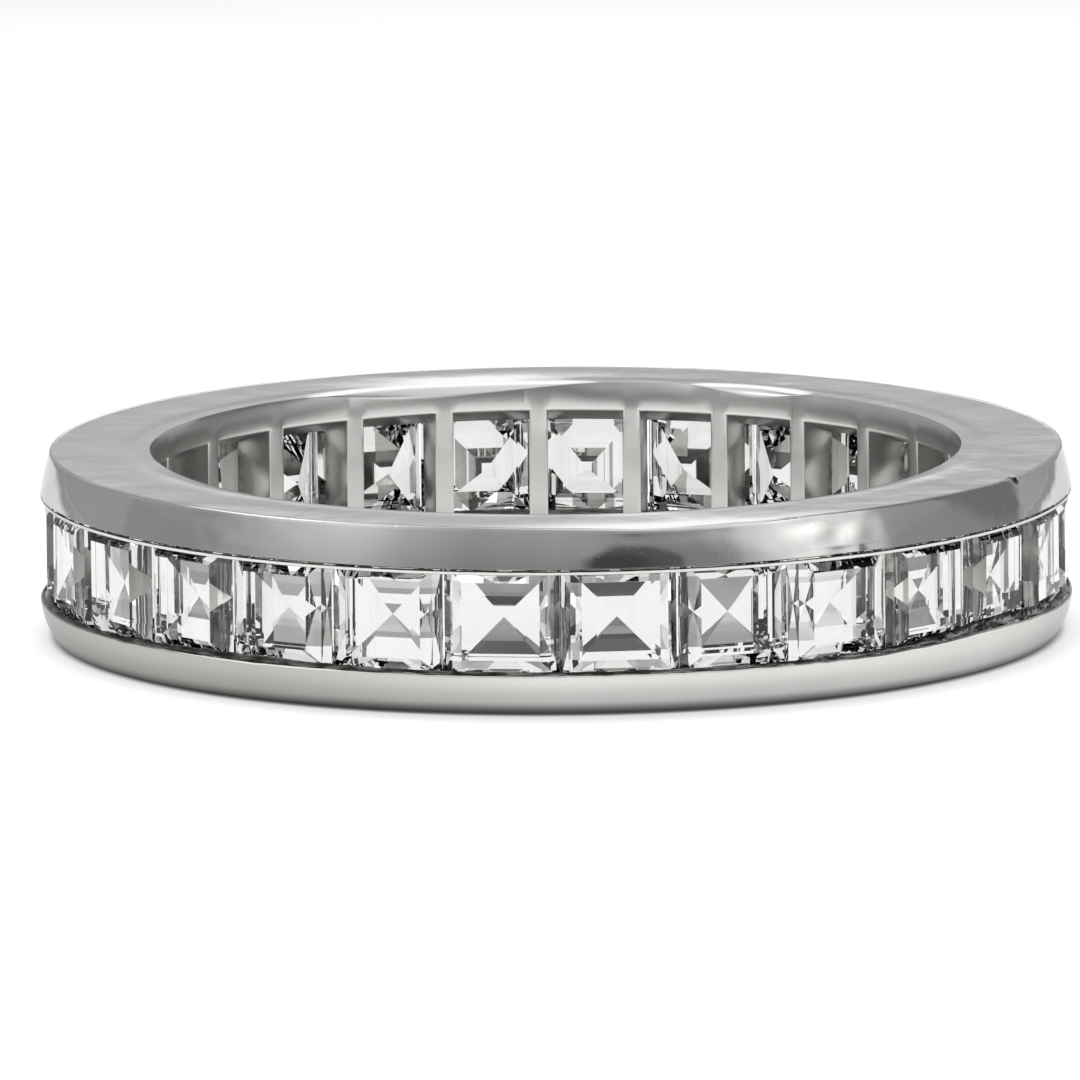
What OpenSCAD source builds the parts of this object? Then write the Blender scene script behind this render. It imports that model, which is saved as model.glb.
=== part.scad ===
// A full eternity ring: a band of white metal with a channel between two flat-sided rails,
// and square step-cut diamonds set side by side in the channel, all the way round.
// The ring lies on its side, as it rests on a table. The finger axis is Z, z = 0 is the
// lower side face, and the middle of the front is at -Y. Each stone is held by the grooves
// in the rails, over a window that is cut through to the bore.

/* [Ring] */
// Inside diameter, the finger size
bore_d = 16.5; // [14:0.1:20]
// Largest outside diameter, at the two rims of the channel
rim_d = 21; // [18.5:0.1:24]
// Width of the band on the finger, which is its height as it lies
band_w = 3.8; // [3.6:0.05:5]
// Outside diameter of the flat upper side face
upper_flat_d = 20.6; // [18.2:0.05:23.6]
// Outside diameter of the flat lower side face
lower_flat_d = 20.4; // [18.2:0.05:23.6]
// Radius of the rounded edges of the bore
bore_round = 0.2; // [0.05:0.01:0.3]

/* [Stones] */
// Number of stones in the full round
stone_count = 27; // [24:1:32]
// How far each table lies inside the rims
table_drop = 0.08; // [0.02:0.01:0.3]
// Free space between two neighbouring stones
stone_gap = 0.03; // [0.01:0.005:0.1]
// Angle from the middle of the front to the first joint between two stones
first_joint = 0.4; // [-6:0.1:6]
// How far the joints have crept at the back, because the stones aren't all of one width
joint_creep = -4.7; // [-6:0.1:6]

/* [Setting] */
// How much of a stone's upper and lower edge each rim covers
rim_cover = 0.118; // [0.08:0.001:0.15]
// Free space between a stone and the groove that holds it
seat_gap = 0.02; // [0.01:0.005:0.05]
// How far the channel narrows under the grooves, at each rail
ledge = 0.045; // [0.02:0.005:0.1]
// Thickness of the bars behind the stones, from the bore to the channel's floor
bar_depth = 1.05; // [0.6:0.05:1.1]

/* [Windows] */
// Width of the bar between two windows at the bore
bar_w = 0.48; // [0.4:0.02:0.8]
// How far the bars stand back from the bore, so that a finger rests on the two rails
bar_back = 0.03; // [0.02:0.01:0.1]
// Height of a window at the bore
window_h = 2.6; // [2.2:0.05:2.8]
// How far a window's upper and lower walls lean in on the way to the stone
window_taper_h = 0.35; // [0.3:0.01:0.5]
// How far a window's side walls lean in on the way to the stone
window_taper_w = 0.1; // [0:0.01:0.2]
// Radius of a window's corners at the bore
window_round = 0.14; // [0.05:0.01:0.3]

/* [Hidden] */
$fn = 96;
cut = 0.5; // how far a cutting solid runs past what it cuts

// The cut of a stone, outermost width first for the pavilion and last for the crown.
// Columns: share of the stone's width, height over the girdle as a share of its side.
crown = [[0.656, 0.146], [0.854, 0.077], [1, 0.0086]];
pavilion = [[0, -0.525], [0.467, -0.344], [0.785, -0.155], [1, -0.0086]];

bore_r = bore_d / 2;
rim_r = rim_d / 2;
table_r = rim_r - table_drop;
pitch = 360 / stone_count;

// A stone's side and its crown fill the wedge between two joints, so that
// side + stone_gap = 2 * (table_r - crown height) * tan(pitch / 2).
side = (2 * table_r * tan(pitch / 2) - stone_gap) / (1 + 2 * crown[0][1] * tan(pitch / 2));
girdle_r = table_r - side * crown[0][1];
girdle_half = side * crown[2][1];

// The angle of joint i, and the angles of the middle and the span of stone i.
function joint_at(i) = first_joint + i * pitch + joint_creep * pow((1 - cos(i * pitch)) / 2, 2);
function stone_at(i) = (joint_at(i - 1) + joint_at(i)) / 2;
function stone_span(i) = joint_at(i) - joint_at(i - 1);
function stone_w(i) = 2 * (girdle_r - girdle_half) * tan(stone_span(i) / 2) - stone_gap;
function stone_name(i) = str("stone_", i < 10 ? "0" : "", i);
widest = max([for (i = [1:stone_count]) stone_w(i)]);

// The channel's section, half of it, measured from the ring's middle plane.
rim_h = side / 2 - rim_cover;
groove_h = side / 2 + seat_gap;
wall_h = rim_h - ledge;
lip_r = norm([girdle_r + side * lookup(2 * rim_h / side, crown), widest * rim_h / side]) + seat_gap;
groove_high_r = norm([girdle_r + girdle_half, widest / 2]) + seat_gap;
groove_low_r = girdle_r - girdle_half - seat_gap;
seat_r = girdle_r + side * lookup(2 * wall_h / side, pavilion) - 2 * seat_gap;
floor_r = bore_r + bar_depth;

// Half of the band's solid section, from its middle plane out to a side face. The rail's
// outer wall is an arc that leaves the rim upright and leans in to the flat face.
module rail_section(flat_r) {
    rise = band_w / 2 - rim_h;
    lean = rim_r - flat_r;
    arc_r = (rise * rise + lean * lean) / (2 * lean);
    difference() {
        union() {
            translate([bore_r, 0]) square([rim_r - bore_r, rim_h]);
            intersection() {
                translate([bore_r, 0]) square([rim_r - bore_r, band_w / 2]);
                translate([rim_r - arc_r, rim_h]) circle(r = arc_r);
            }
            translate([bore_r, 0]) square([rim_r - arc_r - bore_r + cut, band_w / 2]);
        }
        translate([bore_r, band_w / 2]) difference() {
            square(2 * bore_round, center = true);
            translate([bore_round, -bore_round]) circle(r = bore_round);
        }
    }
}

// The channel for the stones: rim, lip, groove, sloping seat, wall and floor.
module channel_section() {
    upper = [[rim_r + cut, rim_h], [lip_r, rim_h], [groove_high_r, groove_h],
        [groove_low_r, groove_h], [seat_r, wall_h], [floor_r, wall_h]];
    lower = [for (k = [len(upper) - 1:-1:0]) [upper[k][0], -upper[k][1]]];
    polygon(concat(upper, lower));
}

// The hole behind stone i. Its walls lean in from the bore to the stone, and its corners
// are rounded at the bore.
module window(i) {
    w = 2 * bore_r * sin(stone_span(i) / 2) - bar_w;
    reach = bar_depth + cut;
    narrow_w = window_taper_w * reach / bar_depth;
    narrow_h = window_taper_h * reach / bar_depth;
    rotate([0, 0, stone_at(i)]) translate([0, -bore_r, band_w / 2]) intersection() {
        translate([0, 0, -window_h / 2]) linear_extrude(window_h)
            polygon([[-w / 2, cut], [w / 2, cut], [w / 2, 0],
                [w / 2 - narrow_w, -reach], [narrow_w - w / 2, -reach], [-w / 2, 0]]);
        rotate([90, 0, 90]) translate([0, 0, -w / 2]) linear_extrude(w)
            polygon([[cut, -window_h / 2], [cut, window_h / 2], [0, window_h / 2],
                [-reach, window_h / 2 - narrow_h], [-reach, narrow_h - window_h / 2],
                [0, -window_h / 2]]);
        rotate([90, 0, 0]) translate([0, 0, -cut]) linear_extrude(reach + cut) {
            square([w - 2 * window_round, window_h], center = true);
            square([w, window_h - 2 * window_round], center = true);
            for (x = [-1, 1], y = [-1, 1])
                translate([x * (w / 2 - window_round), y * (window_h / 2 - window_round)])
                    circle(r = window_round);
        }
    }
}

module band() {
    color("silver") difference() {
        translate([0, 0, band_w / 2]) rotate_extrude() difference() {
            union() {
                rail_section(upper_flat_d / 2);
                mirror([0, 1]) rail_section(lower_flat_d / 2);
            }
            channel_section();
            translate([bore_r, 0]) square([2 * bar_back, window_h - 2 * window_round], center = true);
        }
        for (i = [1:stone_count]) window(i);
    }
}

// Stone i, table outwards: a point for the culet, then four corners at each level.
module stone(i) {
    w = stone_w(i);
    levels = concat([for (k = [1:len(pavilion) - 1]) pavilion[k]],
        [for (k = [len(crown) - 1:-1:0]) crown[k]]);
    last = len(levels) - 1;
    culet = [0, -girdle_r - side * pavilion[0][1], 0];
    corners = [for (level = levels, c = [[-1, -1], [1, -1], [1, 1], [-1, 1]])
        [c[0] * level[0] * w / 2, -girdle_r - side * level[1], c[1] * level[0] * side / 2]];
    point_faces = [for (c = [0:3]) [0, 1 + (c + 1) % 4, 1 + c]];
    step_faces = [for (k = [0:last - 1], c = [0:3])
        [1 + 4 * k + c, 1 + 4 * k + (c + 1) % 4, 5 + 4 * k + (c + 1) % 4, 5 + 4 * k + c]];
    table_face = [[for (c = [0:3]) 1 + 4 * last + c]];
    color("aliceblue") rotate([0, 0, stone_at(i)]) translate([0, 0, band_w / 2])
        polyhedron(concat([culet], corners), concat(point_faces, step_faces, table_face));
}

band();
for (i = [1:stone_count]) stone(i);
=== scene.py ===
import math
import random

import bmesh
import bpy
from mathutils import Matrix, Vector, noise


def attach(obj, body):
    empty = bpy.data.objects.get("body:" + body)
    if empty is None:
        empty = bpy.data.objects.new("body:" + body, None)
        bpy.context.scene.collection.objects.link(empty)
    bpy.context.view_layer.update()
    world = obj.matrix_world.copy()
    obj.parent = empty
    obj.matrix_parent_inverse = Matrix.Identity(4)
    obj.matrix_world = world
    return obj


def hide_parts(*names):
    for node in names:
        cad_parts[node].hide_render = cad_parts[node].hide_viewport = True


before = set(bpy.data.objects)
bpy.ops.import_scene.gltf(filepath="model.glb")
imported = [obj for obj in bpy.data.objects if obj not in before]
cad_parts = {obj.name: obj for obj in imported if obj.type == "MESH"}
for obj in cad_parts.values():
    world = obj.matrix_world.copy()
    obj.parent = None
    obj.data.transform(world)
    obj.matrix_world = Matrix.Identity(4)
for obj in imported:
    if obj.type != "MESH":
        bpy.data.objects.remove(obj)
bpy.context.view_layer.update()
print("frame loaded:", len(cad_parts), "nodes")

mm = 0.001


# ring layout, shared by the band and the stones; lengths in millimetres, angles in degrees
ring = {
    "stones": 27,
    "firstJoint": 0.4,      # the joint between two stones nearest the middle of the front
    "jointCreep": -4.7,     # how far the joints have crept at the back
    "boreRadius": 8.25,
    "rimRadius": 10.5,
    "halfWidth": 1.9,       # of the band, from its middle plane to a side face
}
pitch = math.tau / ring["stones"]


def ringAngle(turn):
    # angle of a place given in stone pitches from the first joint, 0 at the middle of the front
    creep = math.radians(ring["jointCreep"]) * ((1 - math.cos(turn * pitch)) / 2) ** 2
    return math.radians(ring["firstJoint"]) + turn * pitch + creep


def linear(hexText):
    # sRGB hex to the linear colour that Blender's sockets take
    parts = [int(hexText[k:k + 2], 16) / 255 for k in (1, 3, 5)]
    return [c / 12.92 if c <= 0.04045 else ((c + 0.055) / 1.055) ** 2.4 for c in parts] + [1.0]


def addNode(tree, kind, inputs=None, **settings):
    # one node with its settings; an input takes a value or another node's output
    node = tree.nodes.new(kind)
    for name, value in settings.items():
        setattr(node, name, value)
    for name, value in (inputs or {}).items():
        if isinstance(value, bpy.types.NodeSocket):
            tree.links.new(value, node.inputs[name])
        else:
            node.inputs[name].default_value = value
    return node


def newMaterial(name):
    material = bpy.data.materials.new(name)
    material.use_nodes = True
    material.node_tree.nodes.clear()
    return material, material.node_tree


def addPiece(name, bm, material, node=None):
    # a finished piece: its place is in its mesh, and it may stand for one CAD node
    mesh = bpy.data.meshes.new(name)
    bm.to_mesh(mesh)
    bm.free()
    mesh.materials.append(material)
    piece = bpy.data.objects.new(name, mesh)
    bpy.context.scene.collection.objects.link(piece)
    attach(piece, "root")
    if node:
        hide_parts(node)
    return piece


# camera: a long lens, low in front of the ring
view = {
    "elevation": 9.37,      # degrees above the floor
    "roll": -0.45,
    "distance": 630,        # mm from the middle of the ring, far enough to be nearly parallel
    "frame": 1080,          # pixels across the square frame that the next two are given in
    "pixelsPerMm": 49.15,   # at the middle of the ring
    "ringAt": (556.2, 537.7),  # where the middle of the ring shows
    "sensor": 36,           # mm
    "clip": (0.01, 10),     # metres
}


def addCamera():
    data = bpy.data.cameras.new("camera")
    data.sensor_width = view["sensor"]
    data.lens = view["pixelsPerMm"] * view["distance"] / (view["frame"] / view["sensor"])
    data.clip_start, data.clip_end = view["clip"]
    camera = bpy.data.objects.new("camera", data)
    bpy.context.scene.collection.objects.link(camera)
    tilt = math.radians(90 - view["elevation"])
    turn = Matrix.Rotation(tilt, 4, "X") @ Matrix.Rotation(math.radians(view["roll"]), 4, "Z")
    across, down = (pixel - view["frame"] / 2 for pixel in view["ringAt"])
    offset = Vector((-across, down, 0)) / view["pixelsPerMm"]
    middle = Vector((0, 0, ring["halfWidth"] * mm))
    place = middle + turn.to_3x3() @ (offset * mm + Vector((0, 0, view["distance"] * mm)))
    camera.matrix_world = Matrix.Translation(place) @ turn
    bpy.context.scene.camera = camera


addCamera()
print("camera placed")


# studio: a softly glowing white floor with painted shadows, in a tent of grey cloth, with two soft
# lights over it
studio = {
    "floorColour": "#c2c2c1",
    "floorRoughness": 0.85,
    "floorReach": 0.5,      # metres from the middle to its edges
    "floorDrop": 0.004,     # mm under the ring, so that the two don't lie in one plane
    "grain": (3000.0, 3.0, 0.985),  # how many a metre, detail and darkest tone
    "glow": 0.77,           # light that the floor gives by itself
    # painted shadows under the ring: from and to which radius, how far each fades inwards and
    # outwards, in mm, how dark it is, and how much narrower it is at the sides than at the front
    "shadows": [
        {"from": 8.2, "to": 10.15, "inwards": 0.6, "outwards": 1.8, "dark": 0.62,
         "narrow": 1.05},
        {"from": 8.3, "to": 10.21, "inwards": 0.3, "outwards": 0.33, "dark": 0.16,
         "narrow": 1.012},
    ],
    "farFloorPaintedShade": (70, 120, 0.35),  # painted shade: mm from the ring where the floor grows darker, and how dark
    "wallGain": 2.0,        # the wall tones below are halved to fit a colour ramp
    "riseFrom": 9, "riseTo": 30, "rise": 1.8,  # the cloth is lighter higher up, by this factor
    "underFloor": 0.8,
    "horizon": 0.01,        # how far under the horizon the wall fades into that
}
# tones of the tent's wall; azimuth is 0 at the camera and grows to the right
wallTones = [
    (-180, 0.6), (-150, 0.47), (-113, 0.42), (-111, 0.35), (-87, 0.33), (-70, 0.48), (-49, 0.57),
    (-35, 0.37), (-19, 0.26), (0, 0.28), (7, 0.27), (14, 0.24), (21, 0.24), (32, 0.35),
    (40, 0.5), (47, 0.63), (62, 1.06), (72, 0.75), (79, 0.37), (84, 0.34), (98, 0.33), (112, 0.32),
    (124, 0.3), (126, 0.47), (150, 0.57), (180, 0.63),
]
# round patches in the tent, one over the other; sizes in degrees: darker cloth at the sides,
# light cloth behind, the light overhead, then the dark lens and stands in front
softLights = [
    {"azimuth": 125, "elevation": 30, "radius": 29, "soft": 1.5, "tone": 0.22},
    {"azimuth": 95, "elevation": 45, "radius": 24, "soft": 10, "tone": 0.15},
    {"azimuth": -130, "elevation": 38, "radius": 20, "soft": 10, "tone": 0.25},
    {"azimuth": 156, "elevation": 12, "radius": 30, "soft": 1.5, "tone": 0.5},
    {"azimuth": 180, "elevation": 6, "radius": 16, "soft": 6, "tone": 0.54},
    {"azimuth": 180, "elevation": 26.2, "radius": 14, "soft": 3, "tone": 1.8},
    {"azimuth": -90, "elevation": 83, "radius": 38, "soft": 6, "tone": 0.97},
    {"azimuth": -108, "elevation": 52, "radius": 14, "soft": 4, "tone": 2.2},
    {"azimuth": -7, "elevation": 4.5, "radius": 6.5, "soft": 0.5, "tone": 0.04},
    {"azimuth": -30, "elevation": 1, "radius": 7.5, "soft": 1, "tone": 0.07},
    {"azimuth": 27, "elevation": 11, "radius": 13, "soft": 6, "tone": 0.28},
    {"azimuth": 18, "elevation": 12.5, "radius": 10.5, "soft": 1.2, "tone": 0.115},
    {"azimuth": 13, "elevation": 12.5, "radius": 6, "soft": 3, "tone": 0.07},
    {"azimuth": 75, "elevation": 0, "radius": 6, "soft": 1, "tone": 0.08},
    {"azimuth": -85, "elevation": 0, "radius": 6, "soft": 1, "tone": 0.08},
]


def buildWorld():
    world = bpy.data.worlds.new("studio")
    bpy.context.scene.world = world
    world.use_nodes = True
    tree = world.node_tree
    tree.nodes.clear()
    coords = addNode(tree, "ShaderNodeTexCoord").outputs["Generated"]
    axes = addNode(tree, "ShaderNodeSeparateXYZ", {"Vector": coords}).outputs
    behind = addNode(tree, "ShaderNodeMath", {0: axes["Y"], 1: -1.0}, operation="MULTIPLY")
    azimuth = addNode(tree, "ShaderNodeMath", {0: axes["X"], 1: behind.outputs[0]},
                      operation="ARCTAN2")
    place = addNode(tree, "ShaderNodeMapRange",
                    {"Value": azimuth.outputs[0], "From Min": -math.pi, "From Max": math.pi})
    walls = addNode(tree, "ShaderNodeValToRGB", {"Fac": place.outputs["Result"]})
    stops = walls.color_ramp.elements
    while len(stops) < len(wallTones):
        stops.new(0.5)
    for stop, (degrees, tone) in zip(stops, wallTones):
        stop.position = degrees / 360 + 0.5
    for stop, (degrees, tone) in zip(stops, wallTones):
        value = tone / studio["wallGain"]
        stop.color = (value, value, value, 1)
    low, high = (math.sin(math.radians(studio[k])) for k in ("riseFrom", "riseTo"))
    rise = addNode(tree, "ShaderNodeMapRange",
                   {"Value": axes["Z"], "From Min": low, "From Max": high,
                    "To Min": studio["wallGain"], "To Max": studio["wallGain"] * studio["rise"]})
    tone = addNode(tree, "ShaderNodeMath", {0: walls.outputs["Color"], 1: rise.outputs["Result"]},
                   operation="MULTIPLY").outputs[0]
    for light in softLights:
        up, turn = math.radians(light["elevation"]), math.radians(light["azimuth"])
        middle = (math.cos(up) * math.sin(turn), -math.cos(up) * math.cos(turn), math.sin(up))
        near = addNode(tree, "ShaderNodeVectorMath", {0: coords, 1: middle},
                       operation="DOT_PRODUCT")
        outer, inner = light["radius"] + light["soft"], light["radius"] - light["soft"]
        edge = addNode(tree, "ShaderNodeMapRange",
                       {"Value": near.outputs["Value"], "From Min": math.cos(math.radians(outer)),
                        "From Max": math.cos(math.radians(inner))},
                       interpolation_type="SMOOTHSTEP")
        tone = addNode(tree, "ShaderNodeMix",
                       {"Factor": edge.outputs["Result"], "A": tone, "B": light["tone"]},
                       data_type="FLOAT").outputs[0]
    above = addNode(tree, "ShaderNodeMapRange",
                    {"Value": axes["Z"], "From Min": -studio["horizon"], "From Max": 0.0})
    tone = addNode(tree, "ShaderNodeMix",
                   {"Factor": above.outputs["Result"], "A": studio["underFloor"], "B": tone},
                   data_type="FLOAT")
    back = addNode(tree, "ShaderNodeBackground", {"Color": tone.outputs[0], "Strength": 1.0})
    addNode(tree, "ShaderNodeOutputWorld", {"Surface": back.outputs["Background"]})


def addFloor():
    material, tree = newMaterial("matt opal acrylic with painted shadows")
    coords = addNode(tree, "ShaderNodeTexCoord")
    perMetre, detail, darkest = studio["grain"]
    grain = addNode(tree, "ShaderNodeTexNoise",
                    {"Vector": coords.outputs["Object"], "Scale": perMetre, "Detail": detail})
    shade = addNode(tree, "ShaderNodeMapRange",
                    {"Value": grain.outputs["Fac"], "To Min": darkest, "To Max": 1.0})
    tone = addNode(tree, "ShaderNodeMix",
                   {"Factor": 1.0, "A": linear(studio["floorColour"]),
                    "B": shade.outputs["Result"]}, data_type="RGBA", blend_type="MULTIPLY")
    # painted shadow where the ring touches it, and painted shade again far away from the ring
    away = addNode(tree, "ShaderNodeVectorMath", {0: coords.outputs["Object"]}, operation="LENGTH")
    start, end, far = studio["farFloorPaintedShade"]
    fade = addNode(tree, "ShaderNodeMapRange",
                   {"Value": away.outputs["Value"], "From Min": start * mm, "From Max": end * mm,
                    "To Min": 1.0, "To Max": far})
    shading = fade.outputs["Result"]
    for shadow in studio["shadows"]:
        wide = addNode(tree, "ShaderNodeVectorMath",
                       {0: coords.outputs["Object"], 1: (shadow["narrow"], 1, 1)},
                       operation="MULTIPLY")
        away = addNode(tree, "ShaderNodeVectorMath", {0: wide.outputs["Vector"]},
                       operation="LENGTH")
        under = []
        for start, end in ((shadow["to"] + shadow["outwards"], shadow["to"]),
                           (shadow["from"] - shadow["inwards"], shadow["from"])):
            side = addNode(tree, "ShaderNodeMapRange",
                           {"Value": away.outputs["Value"], "From Min": start * mm,
                            "From Max": end * mm}, interpolation_type="SMOOTHSTEP")
            under.append(side.outputs["Result"])
        under = addNode(tree, "ShaderNodeMath", {0: under[0], 1: under[1]}, operation="MULTIPLY")
        darker = addNode(tree, "ShaderNodeMapRange",
                         {"Value": under.outputs[0], "To Min": 1.0, "To Max": shadow["dark"]})
        shading = addNode(tree, "ShaderNodeMath", {0: shading, 1: darker.outputs["Result"]},
                          operation="MULTIPLY").outputs[0]
    tone = addNode(tree, "ShaderNodeMix",
                   {"Factor": 1.0, "A": tone.outputs["Result"], "B": shading},
                   data_type="RGBA", blend_type="MULTIPLY")
    shader = addNode(tree, "ShaderNodeBsdfPrincipled",
                     {"Base Color": tone.outputs["Result"], "Roughness": studio["floorRoughness"],
                      "Emission Color": shading, "Emission Strength": studio["glow"]})
    addNode(tree, "ShaderNodeOutputMaterial", {"Surface": shader.outputs["BSDF"]})
    bm = bmesh.new()
    bmesh.ops.create_grid(bm, x_segments=8, y_segments=8, size=studio["floorReach"])
    bmesh.ops.translate(bm, verts=bm.verts, vec=(0, 0, -studio["floorDrop"] * mm))
    mesh = bpy.data.meshes.new("floor")
    bm.to_mesh(mesh)
    bm.free()
    mesh.materials.append(material)
    floor = bpy.data.objects.new("floor", mesh)
    bpy.context.scene.collection.objects.link(floor)


buildWorld()
addFloor()
print("studio ready")


# band: one spun section, with a window bridged through under each stone
band = {
    # each side: outer radius of the flat face, height of the rim over the middle plane, degrees
    # that the wall leans where it leaves the rim, rounding of the ridge
    "upper": {"flat": 10.3, "rim": 1.045, "lean": 10.5, "ridge": 0.035},
    "lower": {"flat": 10.2, "rim": 1.075, "lean": 5, "ridge": 0.07},
    "lip": [(10.29, 0.02), (10.4, 0.01), (10.47, 0.012)],  # radius, and height over the rim's
    "wallStart": 0.04,      # over the rim's height
    "wallSteps": 9,
    "faceShares": (0.07, 0.2, 0.4, 0.6, 0.8),  # where the side face is divided, from its ridge
    "roundSteps": 8,        # of the bore's edges
    "grooveHeight": 1.183,
    "grooveRadii": (10.194, 10.04),
    "seatRadius": 9.8,
    "wallHeight": 1.0,
    "floorRadius": 9.3,
    "boreRound": (0.45, 0.2),  # of the bore's edges, along the side face and along the bore
    "cellSteps": 24,        # faces along one stone pitch
    "barSteps": 2.5,        # faces on each side of a pitch that stay as the bar
    "barBack": 0.03,
    "windowBore": 1.3,      # half height of a window at the bore
    "windowFloor": 0.95,    # and at the floor of the channel
    "windowNarrow": 0.2135,  # share of the pitch where a window starts at the floor
    "windowRound": 0.14,
    "windowEdge": 0.07,     # of the softened edge round each window
    "mouthAngle": 34,       # degrees from which an edge in the bore is a window's
    "sharp": 24,            # degrees from which an edge stays sharp
    "fineBevel": 0.008,     # of each sharp edge
    # what hand work and wear did; a place is its middle and width in degrees and its share, and
    # a noise is given by how many waves a mm it has
    "hammer": {"deep": 0.004, "perMm": (0.7, 2.1), "fineShare": 0.35, "inwards": 1.6},
    "worn": {"turn": 4.5, "mean": 0.45, "vary": 0.7, "least": 0.15, "most": 1.6,
             "at": [(-30, 14, 0.8), (14, 14, 0.9)]},
    "follow": (1.3, 0.45),  # height from which the walls follow the upper face, and over how much
    # how far the upper face falls off at the ridge, and how much it is tilted outwards
    "dub": {"deep": 0.034, "from": 9.6, "at": [(14, 18, 1), (-100, 60, 0.25)],
            "tiltAt": [(11, 8, 0.45)]},
    "dish": {"deep": 0.07, "from": 9.5, "to": 8.6, "at": [(-167, 15, 1)]},  # towards the bore
    # where the bore's upper edge lies and was rounded, how soon that ends, and where it is sunk
    "boreEdge": {"inside": 8.72, "above": 1.68, "roundAt": [(-164, 18), (150, 8), (0, 60)],
                 "sharpen": 0.25, "sunkAt": [(-157, 10, 0.3)]},
    # its noise is denser upwards by this factor, and it fades over this height under the face
    "filed": {"deep": 0.03, "perMm": 1.7, "upwards": 1.5, "fade": 0.15,
              "at": [(33, 6, 1), (-40, 6, 0.5)]},
    "wavyRim": {"outside": 10.35, "heights": (-1.13, -1.05),
                "waves": [(0.012, 1.3), (0.010, 3.7)]},  # how deep, and how many a mm
    # the lower rim where it was pushed over the stones, on the right
    "lift": {"high": 0.1, "at": (57, 15), "from": -1.6, "over": 0.5},
}


def railSection(side):
    # corners and arcs of half the section, from the middle of the floor to the middle of the bore
    b = band
    rim, flatRadius = b[side]["rim"], b[side]["flat"]
    points = [(b["floorRadius"], b["windowFloor"] * k / 3) for k in range(4)]
    points += [(b["floorRadius"], b["wallHeight"]), (b["seatRadius"], b["wallHeight"]),
               (b["grooveRadii"][1], b["grooveHeight"]), (b["grooveRadii"][0], b["grooveHeight"])]
    points += [(radius, rim + over) for radius, over in b["lip"]]
    # the wall leaves the rim with a small lean and curves in to the flat face
    startHeight = rim + b["wallStart"]
    rise = ring["halfWidth"] - startHeight
    run = ring["rimRadius"] - flatRadius
    lean = math.radians(b[side]["lean"])
    lastLean = 2 * math.atan2(run, rise) - lean
    radius = rise / (math.sin(lastLean) - math.sin(lean))
    for k in range(b["wallSteps"] + 1):
        a = lean + (lastLean - lean) * k / b["wallSteps"]
        points.append((ring["rimRadius"] + radius * (math.cos(a) - math.cos(lean)),
                       startHeight + radius * (math.sin(a) - math.sin(lean))))
    along, down = b["boreRound"]
    inner = ring["boreRadius"] + along
    for share in b["faceShares"]:
        points.append((flatRadius + (inner - flatRadius) * share, ring["halfWidth"]))
    for k in range(b["roundSteps"] + 1):
        a = math.pi / 2 * k / b["roundSteps"]
        points.append((inner - along * math.sin(a), ring["halfWidth"] - down * (1 - math.cos(a))))
    points += [(ring["boreRadius"], b["windowBore"] * k / 3) for k in (3, 2, 1, 0)]
    return points


def bump(angle, middle, width):
    # a soft hump round the ring, 1 at its middle; all in degrees
    away = (math.degrees(angle) - middle + 180) % 360 - 180
    return math.exp(-(away / width) ** 2)


def bumps(angle, places):
    return sum(share * bump(angle, middle, width) for middle, width, share in places)


def lowerLift(angle):
    return band["lift"]["high"] * bump(angle, *band["lift"]["at"])


def polar(co):
    # radius, pitches round from the first joint, and height over the middle plane
    turn = math.atan2(co.x, -co.y) / pitch
    return math.hypot(co.x, co.y), turn % ring["stones"], co.z


def placeInRing(verts):
    # from even pitches round the axis, in millimetres, to the ring's own angles, in metres
    for v in verts:
        r, turn, h = polar(v.co)
        a = ringAngle(turn)
        v.co = Vector((r * math.sin(a), -r * math.cos(a), h + ring["halfWidth"])) * mm


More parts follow.
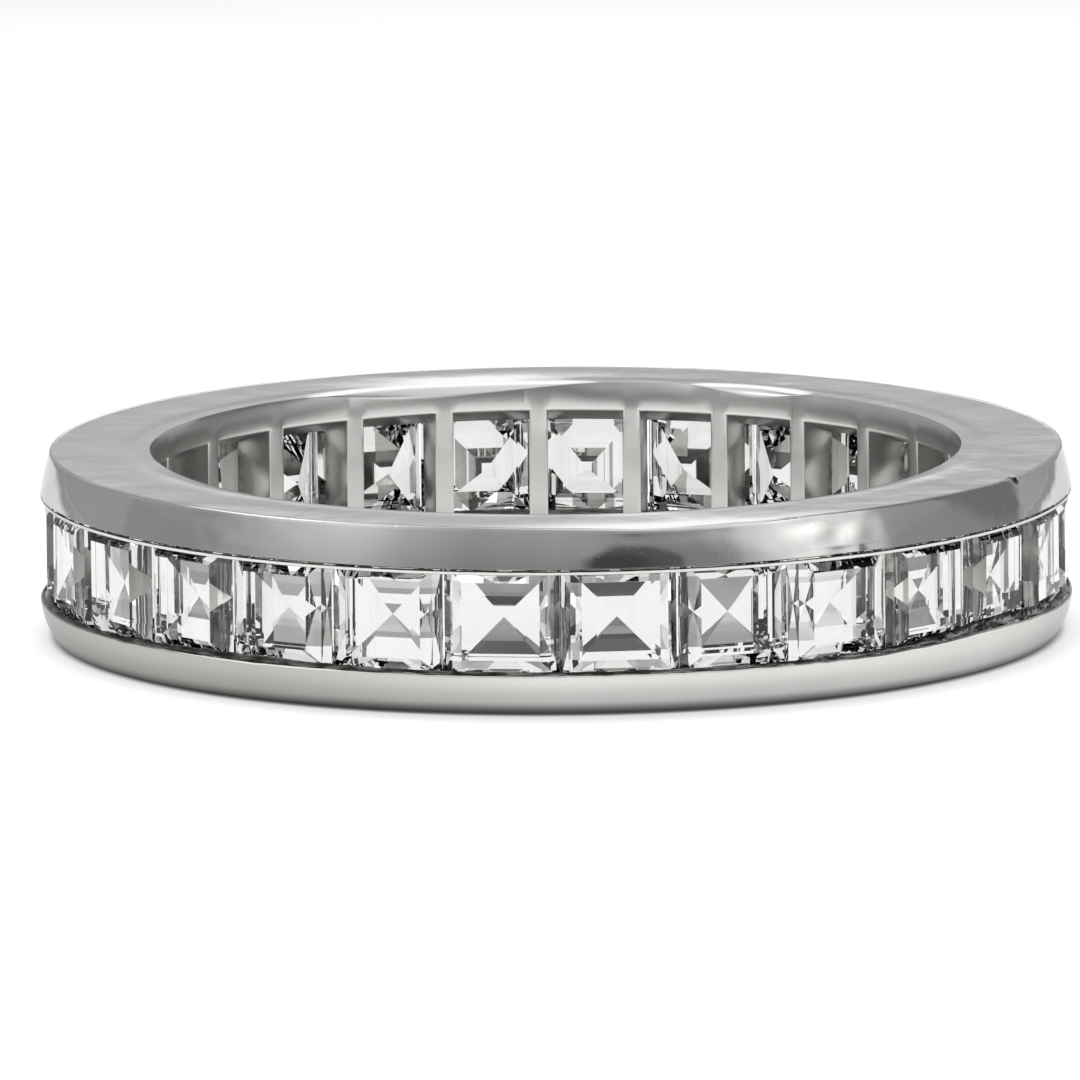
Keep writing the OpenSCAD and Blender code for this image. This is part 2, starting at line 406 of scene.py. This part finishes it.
def buildBand(material):
    b = band
    upper = railSection("upper")
    lower = [(r, -h) for r, h in railSection("lower")]
    outline = upper + lower[-2:0:-1]
    bm = bmesh.new()
    corners = [bm.verts.new((0, -r, h)) for r, h in outline]
    for k in range(len(corners)):
        bm.edges.new((corners[k - 1], corners[k]))
    steps = b["cellSteps"] * ring["stones"]
    start = b["barSteps"] / b["cellSteps"]
    halfStep = 0.5 * pitch / b["cellSteps"]
    bmesh.ops.rotate(bm, verts=bm.verts, cent=(0, 0, 0), matrix=Matrix.Rotation(halfStep, 3, "Z"))
    bmesh.ops.spin(bm, geom=bm.verts[:] + bm.edges[:], cent=(0, 0, 0), axis=(0, 0, 1),
                   angle=math.tau, steps=steps, use_merge=True)
    bmesh.ops.remove_doubles(bm, verts=bm.verts, dist=1e-5)

    near = 0.001  # mm or share of a pitch, for finding places in the mesh
    # draw the floor's columns in, so that the windows' side walls lean towards the stone
    narrow = (0.5 - b["windowNarrow"]) / (0.5 - start)
    for v in bm.verts:
        r, turn, h = polar(v.co)
        share = turn % 1
        inside = start - near < share < 1 - start + near
        if inside and abs(r - b["floorRadius"]) < near and abs(h) < b["windowFloor"] + near:
            shift = (0.5 + (share - 0.5) * narrow - share) * pitch
            v.co = Matrix.Rotation(shift, 3, "Z") @ v.co

    def inWindow(face, radius, height):
        r, turn, h = polar(face.calc_center_median())
        return abs(r - radius) < 0.02 and abs(h) < height and start < turn % 1 < 1 - start

    holes = [f for f in bm.faces if inWindow(f, ring["boreRadius"], b["windowBore"])
             or inWindow(f, b["floorRadius"], b["windowFloor"])]
    bmesh.ops.delete(bm, geom=holes, context="FACES")
    edgeCells = {}
    for e in bm.edges:
        if len(e.link_faces) == 1:
            middle = (e.verts[0].co + e.verts[1].co) / 2
            edgeCells.setdefault(int(polar(middle)[1]), []).append(e)
    for cellEdges in edgeCells.values():
        bmesh.ops.bridge_loops(bm, edges=cellEdges)

    # round the corners of each window
    corner = []
    for e in bm.edges:
        radii = sorted(polar(v.co)[0] for v in e.verts)
        if radii[1] - radii[0] < 0.5 or radii[1] > b["floorRadius"] + 0.01:
            continue
        if all(min(abs(abs(v.co.z) - b[k]) for k in ("windowBore", "windowFloor")) < near
               for v in e.verts):
            turns = [polar(v.co)[1] % 1 for v in e.verts]
            if abs(min(turns) - start) < near or abs(max(turns) - 1 + start) < near:
                corner.append(e)
    bmesh.ops.bevel(bm, geom=corner, offset=b["windowRound"], offset_type="OFFSET", segments=4,
                    profile=0.5, affect="EDGES", material=-1, clamp_overlap=True)
    # soften the edge round each window at the bore
    mouth = []
    for e in bm.edges:
        if len(e.link_faces) == 2 and all(abs(polar(v.co)[0] - ring["boreRadius"]) < 0.01 and
                                          abs(v.co.z) < b["windowBore"] + 0.01 for v in e.verts):
            if e.calc_face_angle(0) > math.radians(b["mouthAngle"]):
                mouth.append(e)
    bmesh.ops.bevel(bm, geom=mouth, offset=b["windowEdge"], offset_type="OFFSET", segments=3,
                    profile=0.5, affect="EDGES", material=-1, clamp_overlap=True)
    # the bars between the windows stand back a little from the two rails
    barRadius = ring["boreRadius"] + b["barBack"]
    for v in bm.verts:
        r, turn, h = polar(v.co)
        share = min(turn % 1, 1 - turn % 1)
        if r < barRadius and abs(h) < b["windowBore"] - b["windowRound"] + 0.01 and \
                share < start + 0.05:
            v.co.xy *= barRadius / r
    # round the ridges at the outer edges of the side faces
    for side, sign in (("upper", 1), ("lower", -1)):
        ridge = []
        for e in bm.edges:
            spots = [polar(v.co) for v in e.verts]
            if all(abs(h * sign - ring["halfWidth"]) < near and abs(r - b[side]["flat"]) < 2 * near
                   for r, turn, h in spots):
                ridge.append(e)
        bmesh.ops.bevel(bm, geom=ridge, offset=b[side]["ridge"], offset_type="OFFSET", segments=4,
                        profile=0.5, affect="EDGES", material=-1, clamp_overlap=True)
    bmesh.ops.recalc_face_normals(bm, faces=bm.faces)

    worn, dub, dish, edge = b["worn"], b["dub"], b["dish"], b["boreEdge"]
    hammer, filed, wavy = b["hammer"], b["filed"], b["wavyRim"]
    for v in bm.verts:
        r, turn, h = polar(v.co)
        angle = ringAngle(turn)
        shift = Vector((0.0, 0.0))  # outwards and up
        # the ridge of the upper face is worn round in some places and crisp in others
        away = Vector((r - b["upper"]["flat"], h - ring["halfWidth"]))
        if away.length < b["upper"]["ridge"] * 1.2:
            much = noise.noise(Vector((math.sin(angle), math.cos(angle), 3.0)) * worn["turn"])
            much = worn["mean"] + worn["vary"] * much + bumps(angle, worn["at"])
            shift += away * (min(worn["most"], max(worn["least"], much)) - 1)
        # the upper face isn't quite flat; the walls under it follow less and less
        follow = min(1, max(0, (h - b["follow"][0]) / b["follow"][1]))
        fall = bumps(angle, dub["tiltAt"]) * (r - ring["boreRadius"])
        if r > dub["from"]:
            share = (r - dub["from"]) / (b["upper"]["flat"] - dub["from"])
            fall += bumps(angle, dub["at"]) * share ** 2
        shift.y -= dub["deep"] * fall * follow
        if r < dish["from"]:
            inwards = dish["from"] - max(r, dish["to"])
            shift.y -= dish["deep"] * bumps(angle, dish["at"]) * inwards ** 2 * follow
        # the bore's upper edge was rounded by hand, and hardly in some places of the back
        if r < edge["inside"] and h > edge["above"]:
            rounded = max(bump(angle, *place) for place in edge["roundAt"])
            rounded = max(0, (1 + edge["sharpen"]) * rounded - edge["sharpen"])
            shift.y += (ring["halfWidth"] - h) * (1 - rounded - bumps(angle, edge["sunkAt"]))
        # the side faces and rail walls were finished by hand, so they are never quite even
        if r > ring["boreRadius"] + 0.3 and abs(h) > b["upper"]["rim"] + 0.01:
            wave = noise.noise(Vector((v.co.x, v.co.y, h)) * hammer["perMm"][0])
            fine = noise.noise(Vector((v.co.x, v.co.y, h + 7)) * hammer["perMm"][1])
            push = hammer["deep"] * (wave + hammer["fineShare"] * fine - hammer["inwards"])
            if abs(h) > ring["halfWidth"] - near:
                shift.y += push if h > 0 else 0
            else:
                shift.x += push
                # two patches of the upper wall were filed back and polished again
                if h > 0:
                    spot = Vector((v.co.x, v.co.y, h * filed["upwards"])) * filed["perMm"]
                    much = bumps(angle, filed["at"]) * (1 + noise.noise(spot))
                    much *= min(1, (ring["halfWidth"] - h) / filed["fade"])
                    shift.x -= filed["deep"] * much
        # the upper edge of the lower rail is wavy where the metal was pushed over the stones
        low, high = wavy["heights"]
        if r > wavy["outside"] and low < h < high:
            for deep, perMm in wavy["waves"]:
                shift.y += deep * noise.noise(v.co * perMm)
        if r > wavy["outside"] and b["lift"]["from"] < h < high:
            shift.y += lowerLift(angle) * min(1, (h - b["lift"]["from"]) / b["lift"]["over"])
        v.co.xy *= 1 + shift.x / r
        v.co.z += shift.y
    placeInRing(bm.verts)
    for f in bm.faces:
        f.smooth = True
    for e in bm.edges:
        e.smooth = len(e.link_faces) == 2 and e.calc_face_angle(0) < math.radians(b["sharp"])
    print("band:", len(bm.verts), "verts", len(bm.faces), "faces, open edges",
          sum(len(e.link_faces) != 2 for e in bm.edges))
    piece = addPiece("channelBand", bm, material, "band")
    bevel = piece.modifiers.new("edges", "BEVEL")
    bevel.width = b["fineBevel"] * mm
    bevel.segments = 1
    bevel.limit_method = "ANGLE"
    bevel.angle_limit = math.radians(b["sharp"])
    bevel.use_clamp_overlap = True
    normals = piece.modifiers.new("normals", "WEIGHTED_NORMAL")
    normals.keep_sharp = True
    return piece


# worked edges: the bright bead along the upper rim, and the rough-cut lip along the lower one
edges = {
    # the section's place, its two half axes and its turn; rough is the unevenness
    "upper": {"radius": 10.475, "height": 1.0, "deep": 0.014, "tall": 0.043, "turn": 5,
              "rough": 0.003, "around": 16, "steps": 52},
    "lower": {"radius": 10.44, "height": -1.038, "deep": 0.036, "tall": 0.018, "turn": 62,
              "rough": 0.016, "around": 12, "steps": 80},
    # where the lower one was left thicker and rougher, or thinner
    "growAt": [(60, 15, 2.4), (-38, 14, 1), (170, 60, 0.5), (-85, 22, -0.5), (88, 8, -0.5)],
    # strokes of the graver, long and soft to short and sharp: how many a mm, how much denser
    # upwards, and the shares that they move the metal up and outwards
    "strokes": [(0.9, 4, 0.9, 0), (3.1, 5, 0.8, 0.4), (10.0, 3, 0.4, 0.6)],
    "insideRim": 0.006,     # how far both stay inside the rim
}


def buildEdge(name, side, material):
    e = edges[side]
    bm = bmesh.new()
    bmesh.ops.create_circle(bm, segments=e["around"], radius=1)
    bmesh.ops.scale(bm, vec=(e["deep"], e["tall"], 1), verts=bm.verts)
    stand = Matrix.Translation((0, -e["radius"], e["height"])) @ \
        Matrix.Rotation(math.pi / 2, 4, "Z") @ Matrix.Rotation(math.pi / 2, 4, "X") @ \
        Matrix.Rotation(math.radians(e["turn"]), 4, "Z")
    bmesh.ops.transform(bm, matrix=stand, verts=bm.verts)
    bmesh.ops.spin(bm, geom=bm.verts[:] + bm.edges[:], cent=(0, 0, 0), axis=(0, 0, 1),
                   angle=math.tau, steps=e["steps"] * ring["stones"], use_merge=True)
    bmesh.ops.remove_doubles(bm, verts=bm.verts, dist=1e-5)
    bmesh.ops.recalc_face_normals(bm, faces=bm.faces)
    for v in bm.verts:
        rough = e["rough"]
        if side == "lower":
            r, turn, h = polar(v.co)
            angle = ringAngle(turn)
            grow = bumps(angle, edges["growAt"])
            v.co.z += (h - e["height"] + e["deep"]) * grow + lowerLift(angle)
            rough *= 1 + 0.5 * grow
        up = outwards = 0
        for perMm, denser, upShare, outShare in edges["strokes"]:
            stroke = noise.noise(Vector((v.co.x, v.co.y, v.co.z * denser)) * perMm)
            up += upShare * stroke
            outwards += outShare * stroke
        v.co.z += rough * up
        v.co.xy *= 1 + rough * outwards / e["radius"]
    # nothing stands out past the rim
    limit = ring["rimRadius"] - edges["insideRim"]
    for v in bm.verts:
        if v.co.xy.length > limit:
            v.co.xy *= limit / v.co.xy.length
    placeInRing(bm.verts)
    for f in bm.faces:
        f.smooth = True
    print(name, len(bm.faces), "faces")
    return addPiece(name, bm, material)


# stones: a step cut with two crown steps and four pavilion steps
stoneCut = {
    "girdleRadius": 10.08,  # where the middle of the girdle stands from the ring's axis
    "side": 2.326,
    "gap": 0.03,
    "girdle": 0.04,
    # crown: share of the width, height over the girdle
    "crown": [(0.854, 0.179), (0.656, 0.34)],
    # pavilion: share of the width where each step ends, and its angle in degrees
    "pavilion": [(0.66, 48.3), (0.38, 45.8), (0.2, 44.1), (0, 43.7)],
    # how much one hand-cut stone differs from the next: crown, pavilion, its angles in degrees
    "crownVary": 0.03,
    "vary": 0.05,
    "varyAngle": 1.0,
    "tilt": (0.6, 0.3),     # degrees that a stone may lean in its seat, forwards and sideways
}


def buildStone(number, material, rng):
    c = stoneCut
    first, last = ringAngle(number - 1), ringAngle(number)
    width = 2 * (c["girdleRadius"] - c["girdle"] / 2) * math.tan((last - first) / 2) - c["gap"]
    crown = [(share + rng.uniform(-1, 1) * c["crownVary"],
              high + rng.uniform(-1, 0) * c["crownVary"]) for share, high in c["crown"]]
    pavilion = []
    share, high = 1, -c["girdle"] / 2
    for nextShare, angle in c["pavilion"]:
        nextShare *= 1 + rng.uniform(-1, 1) * c["vary"]
        angle = math.radians(angle + rng.uniform(-1, 1) * c["varyAngle"])
        high -= (share - nextShare) * c["side"] / 2 * math.tan(angle)
        share = nextShare
        pavilion.append((share, high))
    levels = crown[::-1] + [(1, c["girdle"] / 2), (1, -c["girdle"] / 2)] + pavilion
    bm = bmesh.new()
    bmesh.ops.create_grid(bm, x_segments=1, y_segments=1, size=0.5)
    bmesh.ops.translate(bm, verts=bm.verts, vec=(0, 0, levels[0][1]))
    ringVerts = bm.verts[:]
    ringEdges = bm.edges[:]
    bmesh.ops.scale(bm, vec=(width * levels[0][0], c["side"] * levels[0][0], 1), verts=ringVerts)
    for before, level in zip(levels, levels[1:]):
        made = bmesh.ops.extrude_edge_only(bm, edges=ringEdges)["geom"]
        ringVerts = [g for g in made if isinstance(g, bmesh.types.BMVert)]
        ringEdges = [g for g in made if isinstance(g, bmesh.types.BMEdge)
                     and all(v in ringVerts for v in g.verts)]
        share = level[0] / before[0]
        bmesh.ops.scale(bm, vec=(share, share, 1), verts=ringVerts)
        bmesh.ops.translate(bm, verts=ringVerts, vec=(0, 0, level[1] - before[1]))
    bmesh.ops.remove_doubles(bm, verts=bm.verts, dist=1e-4)
    bmesh.ops.recalc_face_normals(bm, faces=bm.faces)
    for f in bm.faces:
        f.smooth = False
    # stand it up in its groove: width along the ring, table outwards
    lean = Matrix.Rotation(math.radians(rng.uniform(-1, 1) * c["tilt"][0]), 4, "X") @ \
        Matrix.Rotation(math.radians(rng.uniform(-1, 1) * c["tilt"][1]), 4, "Y")
    upright = Matrix.Rotation(math.pi / 2, 4, "X") @ lean
    place = Matrix.Rotation((first + last) / 2, 4, "Z") @ \
        Matrix.Translation((0, -c["girdleRadius"], ring["halfWidth"])) @ upright
    bmesh.ops.transform(bm, matrix=Matrix.Scale(mm, 4) @ place, verts=bm.verts)
    return addPiece("stepCut%02d" % number, bm, material, "stone_%02d" % number)


# polished platinum: grey-white, mirror bright on the slanted walls and satin on the side faces,
# under the hairlines, scratches and pits of a worn ring
platinumLook = {
    "colour": "#dddcda",
    "worn": "#d2d1cf",
    "residueAndShade": "#34322f",   # dark polish left in the cuts beside the stones, and painted shade there
    "grazing": 0.68,        # tint at a low angle, where platinum stays grey
    "polish": (0.025, 0.075),  # roughness of the slanted wall, cleanest and cloudiest
    "satin": 0.16,          # of the side faces and the lower rail
    "bore": 0.3,
    # where each finish starts and where it is whole, in mm of height or radius
    "fades": {"sideFace": (1.86, 1.885), "offFace": (1.88, 1.8), "lowRail": (-0.85, -0.95),
              "inside": (9.6, 9.4), "channel": (9.0, 9.3), "behindStones": (1.25, 1.2)},
    "cloudy": 0.55,         # duller places, how many a mm
    # the left of the lower rail: its painted shade colour, roughness, and from and to which X
    "dullAndShadedLeft": {"colour": "#b3b2af", "roughness": 0.26, "from": 0.0, "to": -6.0},
    # marks: how many a mm or how long each is in mm, and how deep in mm
    "waves": {"perMm": 0.8, "deep": 0.009, "patchesPerMm": 0.16, "much": (0.5, 2.2)},
    "hairlines": {"perMm": (0.7, 30.0, 30.0), "deep": 0.00012},
    "scratches": {"size": (0.5, 0.03, 0.03), "deep": 0.0005,
                  "turns": ((0, 0.7, 0.6), (0, -0.35, -0.4))},
    "pits": {"perMm": 2.2, "from": 0.015, "to": 0.05, "deep": 0.003},
    "edgeNicks": {"perMm": 8.0, "from": 0.02, "to": 0.07, "deep": 0.005},
    "nick": {"angle": 64.0, "size": 0.18, "deep": 0.06},  # the one deeper knock
    "residueAndShadeStreaks": {"perMm": 6.0, "along": 0.3},
}


def platinum(name, residueAndShadeBelow, residueAndShadeAmount, unshadedHeights=None):
    p = platinumLook
    material, tree = newMaterial(name)
    coords = addNode(tree, "ShaderNodeTexCoord").outputs["Object"]
    inMm = addNode(tree, "ShaderNodeVectorMath", {0: coords, "Scale": 1 / mm},
                   operation="SCALE").outputs["Vector"]
    axes = addNode(tree, "ShaderNodeSeparateXYZ", {"Vector": inMm}).outputs
    front = addNode(tree, "ShaderNodeMath", {0: axes["Y"], 1: -1.0}, operation="MULTIPLY")
    angle = addNode(tree, "ShaderNodeMath", {0: axes["X"], 1: front.outputs[0]},
                    operation="ARCTAN2")
    arc = addNode(tree, "ShaderNodeMath", {0: angle.outputs[0], 1: band["upper"]["flat"]},
                  operation="MULTIPLY")
    flat = addNode(tree, "ShaderNodeCombineXYZ", {"X": axes["X"], "Y": axes["Y"]})
    radius = addNode(tree, "ShaderNodeVectorMath", {0: flat.outputs["Vector"]},
                     operation="LENGTH").outputs["Value"]
    # along the band, across it and up: the way that the polishing wheel ran
    along = addNode(tree, "ShaderNodeCombineXYZ",
                    {"X": arc.outputs[0], "Y": radius, "Z": axes["Z"]}).outputs["Vector"]
    up = addNode(tree, "ShaderNodeMath", {0: axes["Z"], 1: ring["halfWidth"]},
                 operation="SUBTRACT").outputs[0]
    off = addNode(tree, "ShaderNodeMath", {0: up}, operation="ABSOLUTE").outputs[0]

    # soft waves, about a millimetre apart, stronger where the band was polished out once more
    waves = addNode(tree, "ShaderNodeTexNoise",
                    {"Vector": inMm, "Scale": p["waves"]["perMm"], "Detail": 2.0,
                     "Roughness": 0.4})
    patches = addNode(tree, "ShaderNodeTexNoise",
                      {"Vector": inMm, "Scale": p["waves"]["patchesPerMm"], "Detail": 0.0})
    least, most = p["waves"]["much"]
    much = addNode(tree, "ShaderNodeMapRange",
                   {"Value": patches.outputs["Fac"], "From Min": 0.45, "From Max": 0.65,
                    "To Min": least, "To Max": most})
    heave = addNode(tree, "ShaderNodeMath", {0: waves.outputs["Fac"], 1: much.outputs["Result"]},
                    operation="MULTIPLY")
    normal = addNode(tree, "ShaderNodeBump",
                     {"Height": heave.outputs[0], "Distance": p["waves"]["deep"] * mm,
                      "Strength": 1.0}).outputs["Normal"]
    # hairlines round the band, 1.5 mm long and 0.03 mm wide, which is wider than real ones
    stretched = addNode(tree, "ShaderNodeMapping",
                        {"Vector": along, "Scale": p["hairlines"]["perMm"]})
    hairs = addNode(tree, "ShaderNodeTexNoise",
                    {"Vector": stretched.outputs["Vector"], "Scale": 1.0, "Detail": 2.0})
    normal = addNode(tree, "ShaderNodeBump",
                     {"Height": hairs.outputs["Fac"], "Distance": p["hairlines"]["deep"] * mm,
                      "Strength": 1.0, "Normal": normal}).outputs["Normal"]
    # scratches of wear, slanted both ways, half a millimetre long and about 0.02 mm wide
    scratches = p["scratches"]
    for turn in scratches["turns"]:
        stretched = addNode(tree, "ShaderNodeMapping",
                            {"Vector": along, "Rotation": turn, "Scale": scratches["size"]},
                            vector_type="TEXTURE")
        lines = addNode(tree, "ShaderNodeTexNoise",
                        {"Vector": stretched.outputs["Vector"], "Scale": 1.0, "Detail": 0.0})
        cut = addNode(tree, "ShaderNodeMapRange",
                      {"Value": lines.outputs["Fac"], "From Min": 0.77, "From Max": 0.83,
                       "To Min": 1.0, "To Max": 0.0})
        normal = addNode(tree, "ShaderNodeBump",
                         {"Height": cut.outputs["Result"], "Distance": scratches["deep"] * mm,
                          "Strength": 1.0, "Normal": normal}).outputs["Normal"]
    # pits of 0.03 mm, one in a few cells of half a millimetre
    pits = p["pits"]
    cells = addNode(tree, "ShaderNodeTexVoronoi", {"Vector": inMm, "Scale": pits["perMm"]})
    hole = addNode(tree, "ShaderNodeMapRange",
                   {"Value": cells.outputs["Distance"], "From Min": pits["from"],
                    "From Max": pits["to"]})
    chosen = addNode(tree, "ShaderNodeMapRange",
                     {"Value": cells.outputs["Color"], "From Min": 0.62, "From Max": 0.6})
    hole = addNode(tree, "ShaderNodeMath",
                   {0: hole.outputs["Result"], 1: chosen.outputs["Result"]}, operation="MAXIMUM")
    normal = addNode(tree, "ShaderNodeBump",
                     {"Height": hole.outputs[0], "Distance": pits["deep"] * mm,
                      "Strength": 1.0, "Normal": normal}).outputs["Normal"]
    # tiny nicks along the ridge of the upper face
    aside = addNode(tree, "ShaderNodeMath", {0: radius, 1: band["upper"]["flat"]},
                    operation="SUBTRACT")
    below = addNode(tree, "ShaderNodeMath", {0: up, 1: ring["halfWidth"]}, operation="SUBTRACT")
    fromRidge = addNode(tree, "ShaderNodeCombineXYZ",
                        {"X": aside.outputs[0], "Y": below.outputs[0]})
    fromRidge = addNode(tree, "ShaderNodeVectorMath", {0: fromRidge.outputs["Vector"]},
                        operation="LENGTH")
    close = addNode(tree, "ShaderNodeMapRange",
                    {"Value": fromRidge.outputs["Value"], "From Min": p["edgeNicks"]["to"],
                     "From Max": p["edgeNicks"]["from"]})
    knocks = addNode(tree, "ShaderNodeTexNoise",
                     {"Vector": inMm, "Scale": p["edgeNicks"]["perMm"], "Detail": 2.0})
    knock = addNode(tree, "ShaderNodeMapRange",
                    {"Value": knocks.outputs["Fac"], "From Min": 0.62, "From Max": 0.7})
    knock = addNode(tree, "ShaderNodeMath",
                    {0: knock.outputs["Result"], 1: close.outputs["Result"]}, operation="MULTIPLY")
    normal = addNode(tree, "ShaderNodeBump",
                     {"Height": knock.outputs[0], "Distance": -p["edgeNicks"]["deep"] * mm,
                      "Strength": 1.0, "Normal": normal}).outputs["Normal"]

    # one deeper knock on the ridge
    nick = p["nick"]
    at = math.radians(nick["angle"])
    spot = Vector((math.sin(at) * band["upper"]["flat"], -math.cos(at) * band["upper"]["flat"],
                   ring["halfWidth"] * 2))
    toSpot = addNode(tree, "ShaderNodeVectorMath", {0: inMm, 1: spot}, operation="DISTANCE")
    gouge = addNode(tree, "ShaderNodeMapRange",
                    {"Value": toSpot.outputs["Value"], "From Min": nick["size"] * 0.4,
                     "From Max": nick["size"], "To Min": 1.0, "To Max": 0.0},
                    interpolation_type="SMOOTHSTEP")
    normal = addNode(tree, "ShaderNodeBump",
                     {"Height": gouge.outputs["Result"], "Distance": -nick["deep"] * mm,
                      "Strength": 1.0, "Normal": normal}).outputs["Normal"]

    # cloudy wear: some places are duller than others
    wear = addNode(tree, "ShaderNodeTexNoise",
                   {"Vector": inMm, "Scale": p["cloudy"], "Detail": 4.0, "Roughness": 0.6})
    polish = addNode(tree, "ShaderNodeMapRange",
                     {"Value": wear.outputs["Fac"], "From Min": 0.35, "From Max": 0.65,
                      "To Min": p["polish"][0], "To Max": p["polish"][1]})
    # the side faces and the lower rail are satin, the bore and the windows are duller still
    fades = {}
    for place, value in (("sideFace", off), ("lowRail", up), ("inside", radius),
                         ("offFace", off), ("behindStones", off)):
        start, end = p["fades"][place]
        fades[place] = addNode(tree, "ShaderNodeMapRange",
                               {"Value": value, "From Min": start, "From Max": end}).outputs[0]
    satin = addNode(tree, "ShaderNodeMath", {0: fades["sideFace"], 1: fades["lowRail"]},
                    operation="MAXIMUM")
    rough = addNode(tree, "ShaderNodeMix",
                    {"Factor": satin.outputs[0], "A": polish.outputs["Result"], "B": p["satin"]},
                    data_type="FLOAT")
    dull = addNode(tree, "ShaderNodeMath", {0: fades["inside"], 1: fades["offFace"]},
                   operation="MULTIPLY")
    rough = addNode(tree, "ShaderNodeMix",
                    {"Factor": dull.outputs[0], "A": rough.outputs[0], "B": p["bore"]},
                    data_type="FLOAT")
    tone = addNode(tree, "ShaderNodeMix",
                   {"Factor": wear.outputs["Fac"], "A": linear(p["colour"]),
                    "B": linear(p["worn"])}, data_type="RGBA")
    # painted shade: the left of the lower rail is darker, and rougher
    dullAndShadedLeft = p["dullAndShadedLeft"]
    leftSide = addNode(tree, "ShaderNodeMapRange",
                       {"Value": axes["X"], "From Min": dullAndShadedLeft["from"], "From Max": dullAndShadedLeft["to"]})
    dullAndShaded = addNode(tree, "ShaderNodeMath",
                     {0: leftSide.outputs["Result"], 1: fades["lowRail"]}, operation="MULTIPLY")
    rough = addNode(tree, "ShaderNodeMix",
                    {"Factor": dullAndShaded.outputs[0], "A": rough.outputs[0], "B": dullAndShadedLeft["roughness"]},
                    data_type="FLOAT")
    tone = addNode(tree, "ShaderNodeMix",
                   {"Factor": dullAndShaded.outputs[0], "A": tone.outputs["Result"],
                    "B": linear(dullAndShadedLeft["colour"])}, data_type="RGBA")
    # dark residue and painted shade in the channel, thin and broken
    inset = addNode(tree, "ShaderNodeMapRange",
                    {"Value": radius, "From Min": residueAndShadeBelow, "From Max": residueAndShadeBelow - 0.03},
                    interpolation_type="SMOOTHSTEP")
    start, end = p["fades"]["channel"]
    outer = addNode(tree, "ShaderNodeMapRange",
                    {"Value": radius, "From Min": start, "From Max": end},
                    interpolation_type="SMOOTHSTEP")
    streaks = addNode(tree, "ShaderNodeMapping",
                      {"Vector": along, "Scale": (p["residueAndShadeStreaks"]["along"], 1.0, 1.0)})
    residueAndShadeStreaks = addNode(tree, "ShaderNodeTexNoise",
                   {"Vector": streaks.outputs["Vector"], "Scale": p["residueAndShadeStreaks"]["perMm"],
                    "Detail": 4.0})
    amount = addNode(tree, "ShaderNodeMapRange",
                     {"Value": residueAndShadeStreaks.outputs["Fac"], "From Min": 0.38, "From Max": 0.58,
                      "To Min": residueAndShadeAmount[0], "To Max": residueAndShadeAmount[1]}).outputs["Result"]
    for part in (inset.outputs["Result"], outer.outputs["Result"], fades["behindStones"]):
        amount = addNode(tree, "ShaderNodeMath", {0: amount, 1: part},
                         operation="MULTIPLY").outputs[0]
    # painted shade also in the deeper knock, and above and below the clear part of a bright cut
    marks = [gouge.outputs["Result"]]
    if unshadedHeights:
        for height, edge in zip(unshadedHeights, (-0.008, 0.008)):
            mark = addNode(tree, "ShaderNodeMapRange",
                           {"Value": up, "From Min": height, "From Max": height + edge})
            marks.append(mark.outputs["Result"])
    for mark in marks:
        amount = addNode(tree, "ShaderNodeMath", {0: amount, 1: mark},
                         operation="MAXIMUM").outputs[0]
    tone = addNode(tree, "ShaderNodeMix",
                   {"Factor": amount, "A": tone.outputs["Result"], "B": linear(p["residueAndShade"])},
                   data_type="RGBA")
    shader = addNode(tree, "ShaderNodeBsdfPrincipled",
                     {"Base Color": tone.outputs["Result"], "Metallic": 1.0,
                      "Specular Tint": (p["grazing"], p["grazing"], p["grazing"], 1.0),
                      "Roughness": rough.outputs[0], "Normal": normal})
    addNode(tree, "ShaderNodeOutputMaterial", {"Surface": shader.outputs["BSDF"]})
    return material


# polished diamond: nearly colourless, and it throws back most of the light inside itself
diamondLook = {
    "tints": ("#e3e3e2", "#dddddb"),  # a little warmer in some stones than in others
    "cloudsPerMetre": 400.0,
    "index": 2.417,
    "glare": 0.25,          # tint of the light thrown back by the surface
}


def diamond():
    d = diamondLook
    material, tree = newMaterial("polished diamond")
    coords = addNode(tree, "ShaderNodeTexCoord").outputs["Object"]
    cloud = addNode(tree, "ShaderNodeTexNoise",
                    {"Vector": coords, "Scale": d["cloudsPerMetre"], "Detail": 1.0})
    tint = addNode(tree, "ShaderNodeMix",
                   {"Factor": cloud.outputs["Fac"], "A": linear(d["tints"][0]),
                    "B": linear(d["tints"][1])}, data_type="RGBA")
    shader = addNode(tree, "ShaderNodeBsdfPrincipled",
                     {"Base Color": tint.outputs["Result"], "Roughness": 0.0, "IOR": d["index"],
                      "Transmission Weight": 1.0,
                      "Specular Tint": (d["glare"], d["glare"], d["glare"], 1.0)})
    addNode(tree, "ShaderNodeOutputMaterial", {"Surface": shader.outputs["BSDF"]})
    return material


buildBand(platinum("polished platinum", residueAndShadeBelow=10.46, residueAndShadeAmount=(0.2, 0.7)))
buildEdge("upperBrightCut", "upper",
          platinum("bright-cut platinum", residueAndShadeBelow=10.3, residueAndShadeAmount=(0.3, 0.8),
                   unshadedHeights=(0.966, 1.02)))
# the rough-cut lip is darkened almost all over, by dark residue and painted shade
buildEdge("lowerRoughCut", "lower",
          platinum("rough-cut platinum", residueAndShadeBelow=10.6, residueAndShadeAmount=(0.7, 1.0)))
print("band made")
rng = random.Random(27)  # its seed; another gives other small differences between the stones
diamondMaterial = diamond()
for number in range(1, ring["stones"] + 1):
    buildStone(number, diamondMaterial, rng)
print("stones made")

scene = bpy.context.scene
scene.view_settings.view_transform = "Standard"
bounces = {"all": 32, "through": 32, "mirrored": 12}  # light crosses many facets of a stone
scene.cycles.max_bounces = bounces["all"]
scene.cycles.transmission_bounces = bounces["through"]
scene.cycles.glossy_bounces = bounces["mirrored"]
